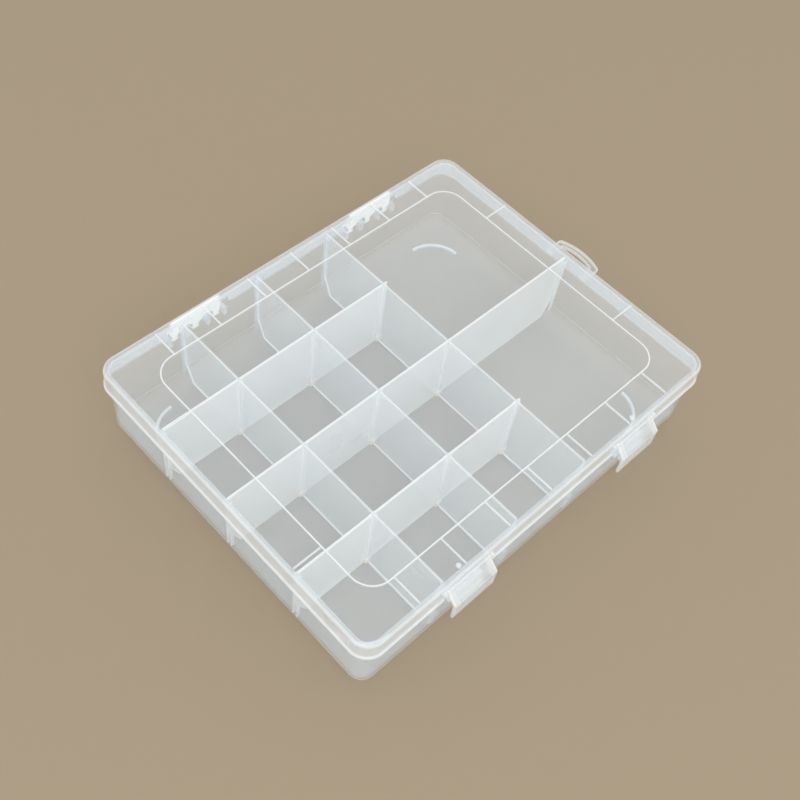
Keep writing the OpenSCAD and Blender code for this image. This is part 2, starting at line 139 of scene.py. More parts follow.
class BOX_PG_looks(bpy.types.PropertyGroup):
    """Colours and veils of the plastic."""

    tint: bpy.props.FloatVectorProperty(
        name="Plastic", description="Colour of the milky plastic", subtype="COLOR",
        size=3, default=(0.81, 0.893, 0.955), min=0, max=1)
    # The edge colour and the edge cover below paint a highlight along the moulded edges,
    # together with the denser look of plastic seen edge-on.
    edge: bpy.props.FloatVectorProperty(
        name="Edges", description="Colour of the bright moulded edges", subtype="COLOR",
        size=3, default=(0.86, 0.87, 0.865), min=0, max=1)
    lid_veil: bpy.props.FloatProperty(
        name="Lid veil", description="Cover of each face of the lid", default=0.07,
        min=0, max=1, subtype="FACTOR")
    tray_veil: bpy.props.FloatProperty(
        name="Tray veil", description="Cover of each face of the tray", default=0.2,
        min=0, max=1, subtype="FACTOR")
    panel_veil: bpy.props.FloatProperty(
        name="Long panel veil", description="Cover of each face of the long dividers",
        default=0.6, min=0, max=1, subtype="FACTOR")
    cross_veil: bpy.props.FloatProperty(
        name="Cross panel veil", description="Cover of each face of the cross dividers",
        default=0.26, min=0, max=1, subtype="FACTOR")
    latch_veil: bpy.props.FloatProperty(
        name="Latch veil", description="Cover of each face of the latches", default=0.3,
        min=0, max=1, subtype="FACTOR")
    hinge_veil: bpy.props.FloatProperty(
        name="Hinge veil", description="Cover of each face of the hinges", default=0.95,
        min=0, max=1, subtype="FACTOR")
    edge_cover: bpy.props.FloatProperty(
        name="Edge cover", description="Cover of the bright moulded edges", default=0.85,
        min=0, max=1, subtype="FACTOR")
    rough: bpy.props.FloatProperty(
        name="Roughness", description="Roughness of the plastic", default=0.28,
        min=0, max=1, subtype="FACTOR")
    # Light within is a painted glow: the plastic gives off its own colour as emission, which
    # stands in for light that the milky plastic passes on from behind.
    painted_glow: bpy.props.FloatProperty(
        name="Light within", description="Light that the milky plastic passes on from behind",
        default=0.09, min=0, max=1)


class BOX_PG_stage(bpy.types.PropertyGroup):
    """Floor, light and camera."""

    floor: bpy.props.FloatVectorProperty(
        name="Floor", description="Colour of the plain floor", subtype="COLOR",
        size=3, default=(0.365, 0.289, 0.196), min=0, max=1)
    sky: bpy.props.FloatProperty(
        name="Sky", description="Strength of the even light all round", default=0.9, min=0)
    key: bpy.props.FloatProperty(
        name="Key light", description="Power of the large soft light in watts", default=9.6,
        min=0)
    lens: bpy.props.FloatProperty(
        name="Lens", description="Focal length of the camera in millimetres", default=48.94,
        min=1)


# ---------------------------------------------------------------- mesh tools


class Skin:
    """Collects closed surfaces, each a stack of loops, and turns them into one object."""

    def __init__(self):
        self.points, self.faces, self.rims, self.count = [], [], [], 0

    def add(self, loops, rim, ring=False):
        """Adds a surface: quads join neighbouring loops, and flat polygons close both ends.

        loops is (loops, points, 3) in metres, and rim is how bright each point is, from 0 to
        1, as a painted highlight. In a ring the last loop joins the first and there are no
        ends.
        """
        loops = np.asarray(loops, float)
        rows, cols = loops.shape[:2]
        rim = np.broadcast_to(np.asarray(rim, float), (rows, cols))
        at = np.arange(rows * cols).reshape(rows, cols)
        low, high = (at, np.roll(at, -1, axis=0)) if ring else (at[:-1], at[1:])
        quads = np.stack(
            [low, np.roll(low, -1, axis=1), np.roll(high, -1, axis=1), high], axis=-1
        ).reshape(-1, 4)
        ends = [] if ring else [at[0][::-1], at[-1]]
        flat = loops.reshape(-1, 3)
        centre = flat.mean(axis=0)
        volume = 0.0
        for corners in [quads] + [e[None, :] for e in ends]:
            p = flat[corners] - centre
            for k in range(1, corners.shape[1] - 1):
                volume += np.einsum("ij,ij->", p[:, 0], np.cross(p[:, k], p[:, k + 1]))
        if volume < 0:
            quads = quads[:, ::-1]
            ends = [e[::-1] for e in ends]
        self.points.append(flat)
        self.rims.append(rim.reshape(-1))
        self.faces += (quads + self.count).tolist()
        self.faces += [(e + self.count).tolist() for e in ends]
        self.count += rows * cols

    def plate(self, outline, half, r, axis, at, bright, face=0.0, soft=SOFT):
        """Adds a plate with its thickness along an axis, moved to a place."""
        loops = plate_loops(outline, half, r, soft)
        self.add(turned(loops, axis, at), plate_rim(loops, bright, face))

    def bar(self, one, other, r, bright):
        """Adds a rounded bar between two opposite corners."""
        self.add(bar_loops(np.minimum(one, other), np.maximum(one, other), r), bright)

    def build(self, name, body, slot, material, nodes=()):
        """Makes the object, which rides on body and stands for the CAD nodes."""
        mesh = bpy.data.meshes.new(name)
        mesh.from_pydata(np.concatenate(self.points).tolist(), [], self.faces)
        mesh.attributes.new("rim", "FLOAT", "POINT").data.foreach_set(
            "value", np.concatenate(self.rims).astype(np.float32))
        mesh.polygons.foreach_set("use_smooth", np.ones(len(mesh.polygons), bool))
        mesh.set_sharp_from_angle(angle=math.radians(38))
        mesh.materials.append(material)
        if mesh.validate(verbose=False):
            raise RuntimeError(f"{name} had faces that could not be kept")
        piece = bpy.data.objects.new(name, mesh)
        bpy.context.scene.collection.objects.link(piece)
        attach(piece, body)
        if nodes:
            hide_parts(*nodes)
        return piece


def arc(centre, radius, start, end, steps):
    """Points on a circle: centre plus radius times (cos a, sin a), a in degrees."""
    a = np.radians(np.linspace(start, end, steps + 1))
    return np.asarray(centre) + radius * np.stack([np.cos(a), np.sin(a)], axis=-1)


def inset(outline, distance):
    """The closed outline moved inwards: each corner slides along its mitre."""
    outline = np.asarray(outline, float)
    to_next = np.roll(outline, -1, axis=0) - outline
    to_next /= np.linalg.norm(to_next, axis=1, keepdims=True)
    ahead = np.stack([-to_next[:, 1], to_next[:, 0]], axis=-1)
    following = np.roll(outline, -1, axis=0)
    area = np.sum(outline[:, 0] * following[:, 1] - following[:, 0] * outline[:, 1])
    ahead *= np.sign(area)
    behind = np.roll(ahead, 1, axis=0)
    bend = 1 + np.sum(ahead * behind, axis=1, keepdims=True)
    return outline + distance * (ahead + behind) / np.maximum(bend, 0.3)


def edge_rows(half, r, steps, shrink=1.0):
    """(inset, height) pairs from half down to -half, round two edges. For a from 0 to 90
    degrees an edge lies shrink r (1 - sin a) in and r (1 - cos a) below the face."""
    a = np.radians(np.linspace(0, 90, steps + 1))
    rows = [(shrink * r * (1 - math.sin(t)), half - r * (1 - math.cos(t))) for t in a]
    return rows + [(d, -h) for d, h in reversed(rows)]


def stacked(outline, rows):
    """Loops (rows, points, 3): the outline moved in by each row's first number, at the
    height of its second."""
    return np.stack([
        np.concatenate([inset(outline, d), np.full((len(outline), 1), h)], axis=1)
        for d, h in rows])


def plate_loops(outline, half, r, soft=SOFT):
    """Loops of a plate: the outline in the first two axes and the thickness, from half to
    -half, in the third, with its edges rounded by r. The first and last loops lie soft
    further in, where the bright edge has faded."""
    face = r + soft
    return stacked(outline, [(face, half), *edge_rows(half, r, 3), (face, -half)])


def plate_rim(loops, bright=1.0, face=0.0):
    """Painted highlight of a plate's loops: face on the two flat faces and bright round its
    edge.
    """
    rim = np.full(loops.shape[:2], float(bright))
    rim[[1, -2]] = 0.6 * bright + 0.4 * face
    rim[[0, -1]] = face
    return rim


def turned(loops, axis, at):
    """The loops of a plate with its thickness laid along an axis, and then moved."""
    order = {"x": [2, 0, 1], "y": [0, 2, 1], "z": [0, 1, 2]}[axis]
    return loops[..., order] + np.asarray(at)


def bar_loops(low, high, r):
    """Loops of a bar between its lowest and highest corner, with all its edges rounded by
    r. Its ends move in by a little less than r, so that no two of their points meet."""
    half = (high - low) / 2
    x, y = half[:2] - r
    outline = np.concatenate([
        arc((x, y), r, 0, 90, 2), arc((-x, y), r, 90, 180, 2),
        arc((-x, -y), r, 180, 270, 2), arc((x, -y), r, 270, 360, 2)])
    return stacked(outline, edge_rows(half[2], r, 2, shrink=0.98)) + (low + high) / 2


class Track:
    """A rounded rectangle to carry a profile round: places, outward normals and marks."""

    def __init__(self, half_x, half_y, r, steps=12, front=(), back=()):
        """front and back are the (from, to) spans in x that are marked on the long sides,
        with -1 and 1. A span's ends are doubled, a hair apart, so that it starts sharply."""
        self.at, self.out, self.mark = [], [], []
        hair = 0.01 * MM
        spans = {-1: front, 1: back}
        for start, sx, sy in ((0, 1, 1), (90, -1, 1), (180, -1, -1), (270, 1, -1)):
            a = np.radians(np.linspace(start, start + 90, steps + 1))
            centre = np.array([sx * (half_x - r), sy * (half_y - r)])
            for out in np.stack([np.cos(a), np.sin(a)], axis=-1):
                self._put(centre + r * out, out, 0)
            if sx != sy:
                continue
            cuts = []
            for low, high in spans[sy]:
                cuts += [(low - hair, 0), (low + hair, sy), (high - hair, sy),
                         (high + hair, 0)]
            for x, mark in sorted(cuts, reverse=sy > 0):
                self._put(np.array([x, sy * half_y]), np.array([0.0, sy]), mark)
        self.at, self.out = np.array(self.at), np.array(self.out)
        self.mark = np.array(self.mark)

    def _put(self, at, out, mark):
        self.at.append(at)
        self.out.append(out)
        self.mark.append(mark)

    def loops(self, profile):
        """Loops (profile points, places, 3): each place moved out by the profile's first
        number and up to its second. The profile is (points, 2) or (points, places, 2)."""
        profile = np.asarray(profile, float)
        if profile.ndim == 2:
            profile = np.repeat(profile[:, None], len(self.at), axis=1)
        flat = self.at[None] + profile[..., :1] * self.out[None]
        return np.concatenate([flat, profile[..., 1:]], axis=-1)


def lid_half(s):
    """Half the lid's length and width over its skirt."""
    return -LID_LOW[0] - s.bead, TRAY_HALF[1] + s.skirt_gap + s.skirt


def reaches_wall(high, run):
    """Whether a divider that runs along axis 0 or 1 ends at the tray's far wall."""
    return high[run] > 0.9 * TRAY_HALF[run]


# ---------------------------------------------------------------- materials


class Wire:
    """A number in a shader: + - * add maths nodes, and node() adds any other one."""

    def __init__(self, tree, socket=None):
        self.tree, self.socket = tree, socket

    def feed(self, node, inputs):
        """Links or sets inputs of a node."""
        for key, value in inputs.items():
            if isinstance(value, Wire):
                self.tree.links.new(value.socket, node.inputs[key])
            else:
                node.inputs[key].default_value = value

    def node(self, kind, output, inputs=None, **settings):
        """Adds a node with these settings and inputs, and returns one of its outputs."""
        made = self.tree.nodes.new(kind)
        for key, value in settings.items():
            setattr(made, key, value)
        self.feed(made, inputs or {})
        return Wire(self.tree, made.outputs[output])

    def _maths(self, operation, first, second):
        return self.node("ShaderNodeMath", 0, {0: first, 1: second}, operation=operation)

    def __add__(self, other):
        return self._maths("ADD", self, other)

    def __sub__(self, other):
        return self._maths("SUBTRACT", self, other)

    def __rsub__(self, other):
        return self._maths("SUBTRACT", other, self)

    def __mul__(self, other):
        return self._maths("MULTIPLY", self, other)

    __radd__, __rmul__ = __add__, __mul__

    def mixed(self, first, second):
        """The first colour where this is 0 and the second where it is 1."""
        return self.node("ShaderNodeMix", 2, {0: self, 6: (*first, 1), 7: (*second, 1)},
                         data_type="RGBA")

    def clamped(self):
        return self.node("ShaderNodeClamp", 0, {0: self})


def milky(name, looks, veil, tint, edge, painted_glow):
    """Translucent moulded plastic: each face covers what lies behind it by veil, which a
    soft cloud makes uneven, as it does the sheen. The edges, marked by the rim attribute,
    are whiter and denser: a painted highlight together with the denser look of plastic seen
    edge-on. Each face also gives off its colour as a painted glow, which stands in for light
    passed on through the plastic."""
    haze, sheen = 0.2, 0.05
    material = bpy.data.materials.new(name)
    material.use_nodes = True
    tree = material.node_tree
    shader = next(n for n in tree.nodes if n.type == "BSDF_PRINCIPLED")
    start = Wire(tree)
    rim = start.node("ShaderNodeAttribute", "Fac", attribute_name="rim")
    place = start.node("ShaderNodeTexCoord", "Object")
    cloud = start.node(
        "ShaderNodeTexNoise", 0,
        {"Vector": place, "Scale": 22.0, "Detail": 3.0, "Roughness": 0.5}) - 0.5
    cover = veil + (looks.edge_cover - veil) * rim + haze * veil * cloud
    colour = rim.mixed(tint, edge)
    start.feed(shader, {
        "Base Color": colour, "Emission Color": colour, "Emission Strength": painted_glow,
        "Alpha": cover.clamped(), "Roughness": looks.rough + sheen * cloud, "IOR": 1.49})
    return material


# Of each finish: the property that gives its veil, its own colours on faces and at edges
# where they differ from the common ones, and how much of the common painted glow it has.
FINISHES = {
    "tray_clear": ("tray_veil", None, None, 1),
    "lid_clear": ("lid_veil", (0.84, 0.89, 0.915), None, 1),
    "panel_milky": ("panel_veil", (0.85, 0.88, 0.885), (0.93, 0.94, 0.935), 1),
    "panel_clear": ("cross_veil", (0.84, 0.885, 0.92), (0.9, 0.92, 0.93), 1),
    "foot_cream": ("panel_veil", (0.87, 0.83, 0.79), (0.87, 0.83, 0.79), 1),
    # The hinges carry two and a half times the painted glow, which lifts them out of the shade
    # of the lid and the tray's back wall.
    "hinge_milky": ("hinge_veil", (0.9, 0.885, 0.85), (0.9, 0.885, 0.85), 2.5),
    "latch_white": ("latch_veil", (0.81, 0.85, 0.87), None, 1),
}


def plastic(finish):
    """The material of that finish, made once."""
    if finish in bpy.data.materials:
        return bpy.data.materials[finish]
    looks = bpy.context.scene.box_looks
    # light is this finish's share of the painted glow.
    veil, tint, edge, light = FINISHES[finish]
    return milky(finish, looks, getattr(looks, veil), tint or looks.tint,
                 edge or looks.edge, light * looks.painted_glow)


# ---------------------------------------------------------------- pieces


class BOX_OT_tray(bpy.types.Operator):
    """Tray with rounded rim, lower edge and corners, its guide ribs, feet and catches"""

    bl_idname = "box.tray"
    bl_label = "Tray"

    def execute(self, context):
        s = context.scene.box_sizes
        self.shell(s)
        self.guides(s)
        self.feet(s)
        self.catches()
        return {"FINISHED"}

    def shell(self, s):
        """Section of the wall, carried round the tray: from the floor out over the rounded
        lower edge, up to the rim, and down the inside to the floor again."""
        edge, wall, foot, rim_z = s.lower_edge, s.wall, s.foot, TRAY_HIGH[2]
        flat, lip, shoulder = 0.3 * MM, 0.5 * MM, 3 * MM
        turn_z, turn_steps = foot + edge, 10
        profile = np.concatenate([
            [(-edge - flat, foot)],
            arc((-edge, turn_z), edge, -90, 0, turn_steps),
            [(0, turn_z + lip), (0, rim_z - shoulder)],
            arc((-lip, rim_z - lip), lip, 0, 90, 4),
            arc((lip - wall, rim_z - lip), lip, 90, 180, 4),
            [(-wall, rim_z - shoulder)],
            arc((-edge, turn_z), edge - wall, 0, -90, turn_steps),
            [(-edge - flat, foot + wall)]])
        # The rim's top and the line where the wall meets the lower edge carry painted
        # highlights.
        bright = np.zeros(len(profile))
        bright[profile[:, 1] > rim_z - 0.6 * MM] = 0.15
        bright[turn_steps + 1] = 0.4  # the line where the wall meets the lower edge
        skin = Skin()
        skin.add(Track(*TRAY_HALF, s.corner, 14).loops(profile), bright[:, None])
        skin.build("tray_shell", "tray", "tray_plastic", plastic("tray_clear"), ("base_tray",))

    def guides(self, s):
        """Pairs of upright ribs, sunk a little into the wall, at each divider's ends."""
        skin = Skin()
        inside = TRAY_HALF - s.wall
        reach, thick, deep, sunk = 0.75 * MM, 1.0 * MM, 1.6 * MM, 0.4 * MM
        low_z, high_z = 5 * MM, TRAY_HIGH[2] - 3 * MM
        for names, run, bright in ((LONG_DIVIDERS, 0, 0.75), (CROSS_DIVIDERS, 1, 0.08)):
            axes = [run, 1 - run, 2]
            for name in names:
                low, high = cad_box(name)
                line = (low[1 - run] + high[1 - run]) / 2
                for end in SIDES if reaches_wall(high, run) else (-1,):
                    for side in SIDES:
                        one, other = np.zeros(3), np.zeros(3)
                        one[axes] = end * (inside[run] + sunk), line + side * reach, low_z
                        other[axes] = (end * (inside[run] - deep),
                                       line + side * (reach + thick), high_z)
                        skin.bar(one, other, 0.25 * MM, bright)
        skin.build("tray_guides", "tray", "tray_plastic", plastic("tray_clear"))

    def feet(self, s):
        """A flat bar carried a quarter of a circle round each corner under the floor. The
        circles have the centres of the ridge's corners, so the feet of one box stand round
        the ridge of another."""
        skin = Skin()
        radius, half, sunk = 17.9 * MM, 0.75 * MM, 0.4 * MM
        centre_x, centre_y = np.array(lid_half(s)) - s.ridge_in - s.ridge_corner
        turn = np.radians(np.linspace(0, 90, 17))[:, None]
        across = radius + half * np.array([-1, 1, 1, -1])
        height = (s.foot + sunk) * np.array([0, 0, 1, 1])
        x = centre_x + across * np.cos(turn)
        y = centre_y + across * np.sin(turn)
        z = np.broadcast_to(height, x.shape)
        for sx in SIDES:
            for sy in SIDES:
                skin.add(np.stack([sx * x, sy * y, z], axis=-1), 0.75)
        skin.build("tray_feet", "tray", "tray_plastic", plastic("tray_clear"))

    def catches(self):
        """Ledges on the front wall that the latches hook under, sloped on top."""
        for name in ("catch_left", "catch_right"):
            (x0, y0, z0), (x1, y1, z1) = cad_box(name)
            lip = z1 - (y1 - y0) / 2
            outline = np.array([(y1, z0), (y0, z0), (y0, lip), (y1, z1)])
            skin = Skin()
            skin.plate(outline, (x1 - x0) / 2, 0.2 * MM, "x", ((x0 + x1) / 2, 0, 0), 0.5)
            skin.build(f"{name}_ledge", "tray", "tray_plastic", plastic("tray_clear"), (name,))


class BOX_OT_hinges(bpy.types.Operator):
    """Hinge pins with their supports on the tray, and the lid's snap-on knuckles"""

    bl_idname = "box.hinges"
    bl_label = "Hinges"

    pitch = 12.9 * MM  # from one knuckle to the next

    def execute(self, context):
        s = context.scene.box_sizes
        for side, word in zip(SIDES, ("left", "right")):
            middle = JOINT_AT["lid_hinge"] + (side * s.hinge_x, 0, 0)
            self.pin(middle, word)
            self.knuckles(middle, word, s)
        return {"FINISHED"}

    def pin(self, middle, word):
        """Pin, and four supports that stand off the back wall."""
        skin = Skin()
        skin.plate(arc((0, 0), 1.25 * MM, 0, 337.5, 15), 18.4 * MM, 0.2 * MM, "x", middle,
                   0.1, 0.1)
        r, sunk, outer_x = 2.4 * MM, 0.3 * MM, 17.3 * MM
        wall = TRAY_HALF[1] - sunk - middle[1]
        outline = np.concatenate([arc((0, 0), r, -90, 90, 12), [(wall, r), (wall, -r)]])
        for x in (-outer_x, -self.pitch / 2, self.pitch / 2, outer_x):
            skin.plate(outline, 1.2 * MM, 0.25 * MM, "x", middle + (x, 0, 0), 0.2)
        skin.build(f"hinge_pin_{word}", "tray", "tray_plastic", plastic("tray_clear"))

    def knuckles(self, middle, word, s):
        """Three open knuckles round the pin, hung from a plate whose lower edge is
        scalloped between them."""
        skin = Skin()
        low, high = middle[2] + 3.3 * MM, s.lid_top - 3.5 * MM
        half, bite = 14.7 * MM, 4.65 * MM
        bites = [arc((side * self.pitch / 2, low - bite / 2), bite, 150, 30, 14)
                 for side in SIDES]
        outline = np.concatenate([
            [(-half, low)], *bites, [(half, low), (half, high), (-half, high)]])
        inner_y, outer_y = 93.95 * MM, 95.9 * MM
        skin.plate(outline, (outer_y - inner_y) / 2, 0.3 * MM, "y",
                   (middle[0], (inner_y + outer_y) / 2, 0), 0.9, 0.25)
        inner, outer, mouth = 1.35 * MM, 2.98 * MM, 24
        ring = np.concatenate([
            arc((0, 0), outer, mouth - 180, 180 - mouth, 28),
            arc((0, 0), inner, 180 - 2 * mouth, 2 * mouth - 180, 20)])
        arm = np.array([(-2.4, 2.0), (0.8, 2.9), (-0.2, 5.5), (-2.5, 6.0)]) * MM
        for x in (-self.pitch, 0, self.pitch):
            for outline in (ring, arm):
                skin.plate(outline, 1.8 * MM, 0.25 * MM, "x", middle + (x, 0, 0), 0.8, 0.25)
        skin.build(f"hinge_knuckles_{word}", "lid", "lid_plastic", plastic("hinge_milky"))


class BOX_OT_lid(bpy.types.Operator):
    """Lid with its rounded edge, notched skirt and bead, raised ridge, ribs and hang loop"""

    bl_idname = "box.lid"
    bl_label = "Lid"

    def execute(self, context):
        s = context.scene.box_sizes
        self.shell(s)
        self.ridge(s)
        self.ribs(s)
        self.loop(s)
        self.ears(s)
        return {"FINISHED"}

    def shell(self, s):
        """Section of the lid's edge, carried round it. The skirt ends higher, and has no
        bead, over the latches and the hinges."""
        at_latch, at_hinge = 13.8 * MM, 21 * MM
        track = Track(
            *lid_half(s), s.corner + s.skirt_gap + s.skirt, 14,
            front=[(x - at_latch, x + at_latch) for x in (-s.latch_x, s.latch_x)],
            back=[(x - at_hinge, x + at_hinge) for x in (-s.hinge_x, s.hinge_x)])
        low = s.lid_top - s.skirt_height
        section = self.section(s, low, s.bead)
        profile = np.repeat(section[:, None], len(track.at), axis=1)
        profile[:, track.mark == -1] = self.section(s, 47.85 * MM, 0)[:, None]
        profile[:, track.mark == 1] = self.section(s, low + 4 * MM, 0)[:, None]
        skin = Skin()
        skin.add(track.loops(profile), self.brightness()[:, None])
        skin.build("lid_shell", "lid", "lid_plastic", plastic("lid_clear"), ("lid",))

    def section(self, s, low, bead):
        """Section of the lid's edge: from the top face out over the rounded edge, down the
        skirt, round the bead and up the inside to the underside."""
        r, w, lip, inner_r = s.lid_edge, s.skirt, 0.35 * MM, 0.8 * MM
        under, turn_z = s.lid_top - s.lid_wall, s.lid_top - r
        if bead > 0:
            ledge = low + s.bead_height
            outer = np.concatenate([
                [(0, turn_z - 0.6 * MM), (0, ledge + 0.5 * MM)],
                arc((bead - lip, ledge - lip), lip, 80, 0, 3),
                arc((bead - lip, low + lip), lip, 0, -90, 3)])
        else:
            outer = np.stack([np.zeros(10), np.linspace(turn_z, low, 10)], axis=-1)
            outer[-1, 0] = -0.1 * MM
        inner_low = min(low + 0.25 * MM, under - 0.9 * MM)
        return np.concatenate([
            [(-r - 0.5 * MM, s.lid_top)],
            arc((-r, turn_z), r, 90, 0, 7),
            outer,
            [(-w + 0.25 * MM, low), (-w, inner_low), (-w, under - inner_r)],
            arc((-w - inner_r, under - inner_r), inner_r, 0, 90, 3),
            [(-w - 1.3 * MM, under)]])

    def brightness(self):
        """Painted highlight, together with the denser look of plastic seen edge-on: whiter
        along the rounded edge, the skirt and the bead than on the flat top, in the order of the
        section's points."""
        top, edge = [0, 0], [0.25, 0.45, 0.6, 0.66, 0.62, 0.58, 0.55]
        skirt, bead = [0.62] * 2, [0.6] * 8
        inside = [0.18] * 4 + [0.25, 0.15, 0, 0]
        return np.array(top + edge + skirt + bead + inside, float)

    def ridge(self, s):
        """Raised rounded rectangle that the feet of another box stand round."""
        half_x, half_y = lid_half(s)
        track = Track(half_x - s.ridge_in, half_y - s.ridge_in, s.ridge_corner, 16)
        half, r, low, high = 0.6 * MM, 0.4 * MM, s.lid_top - 0.15 * MM, s.lid_top + 0.9 * MM
        profile = np.concatenate([
            [(half, low), (half, high - r)],
            arc((half - r, high - r), r, 30, 90, 2),
            arc((r - half, high - r), r, 90, 150, 2),
            [(-half, high - r), (-half, low)]])
        # The crown of the ridge carries a painted highlight.
        crown = 0.75 * np.array([0, 0, 0.1, 0.6, 1, 1, 0.6, 0.1, 0, 0])
        skin = Skin()
        skin.add(np.swapaxes(track.loops(profile), 0, 1), crown[None, :], ring=True)
        skin.build("lid_ridge", "lid", "lid_plastic", plastic("lid_clear"))

    def ribs(self, s):
        """Low ribs from the ridge to the lid's edge, and two small bosses."""
        skin = Skin()
        low, high, half, r = s.lid_top - 0.15 * MM, s.lid_top + 0.6 * MM, 0.5 * MM, 0.25 * MM
        pitch, end_y, boss_x, boss_r = 28.3 * MM, 45.5 * MM, 60 * MM, 1.3 * MM
        x0, y0 = np.array(lid_half(s)) - s.ridge_in
        x1, y1 = np.array(lid_half(s)) - 2.8 * MM
        for side in SIDES:
            for x in pitch * np.arange(-3, 4):
                skin.bar((x - half, side * y0, low), (x + half, side * y1, high), r, 0.45)
            for y in (-end_y, end_y):
                skin.bar((side * x0, y - half, low), (side * x1, y + half, high), r, 0.4)
            skin.plate(arc((0, 0), boss_r, 0, 340, 17), 0.5 * MM, 0.25 * MM, "z",
                       (side * boss_x, 1.4 * MM - y1, s.lid_top + 0.4 * MM), 0.45, 0.45)
        skin.build("lid_ribs", "lid", "lid_plastic", plastic("lid_clear"))

    def loop(self, s):
        """Flat hang loop with a bowed outer edge."""
        band, half_w, bow, corner, half = 3.9 * MM, 14.1 * MM, 34.3 * MM, 2 * MM, 1 * MM
        reach, root = LID_HIGH[0], lid_half(s)[0] - 0.3 * MM

        def edge(x_out, w, radius, r):
            """One side of the band: straight out, round a corner, then the bow."""
            centre = x_out - radius
            cy = w - r
            cx = math.sqrt((radius - r) ** 2 - cy ** 2)
            swing = math.degrees(math.atan2(cy, cx))
            return np.concatenate([
                [(root, w)],
                arc((centre + cx, cy), r, 90, swing, 5),
                arc((centre, 0), radius, swing - 1, 1 - swing, 18),
                arc((centre + cx, -cy), r, -swing, -90, 5),
                [(root, -w)]])

        outer = edge(reach, half_w, bow, corner)
        inner = edge(reach - band, half_w - band, bow - band, corner / 2)
        skin = Skin()
        skin.plate(np.concatenate([outer, inner[::-1]]), half, 0.3 * MM, "z",
                   (0, 0, s.lid_top - s.skirt_height + half), 0.8, 0.05)
        skin.build("hang_loop", "lid", "lid_plastic", plastic("lid_clear"))

    def ears(self, s):
        """Ears beside each latch that hold its pivot pins."""
        skin = Skin()
        r, ear_x, sunk = 1.2 * MM, 14.8 * MM, 0.5 * MM
        for name in ("latch_left_pivot", "latch_right_pivot"):
            pivot = JOINT_AT[name]
            back = sunk - lid_half(s)[1] - pivot[1]
            outline = np.concatenate([arc((0, 0), r, 90, 270, 10), [(back, -r), (back, r)]])
            for side in SIDES:
                skin.plate(outline, 1 * MM, 0.25 * MM, "x", pivot + (side * ear_x, 0, 0),
                           0.35, 0.15)
        skin.build("latch_ears", "lid", "lid_plastic", plastic("latch_white"))


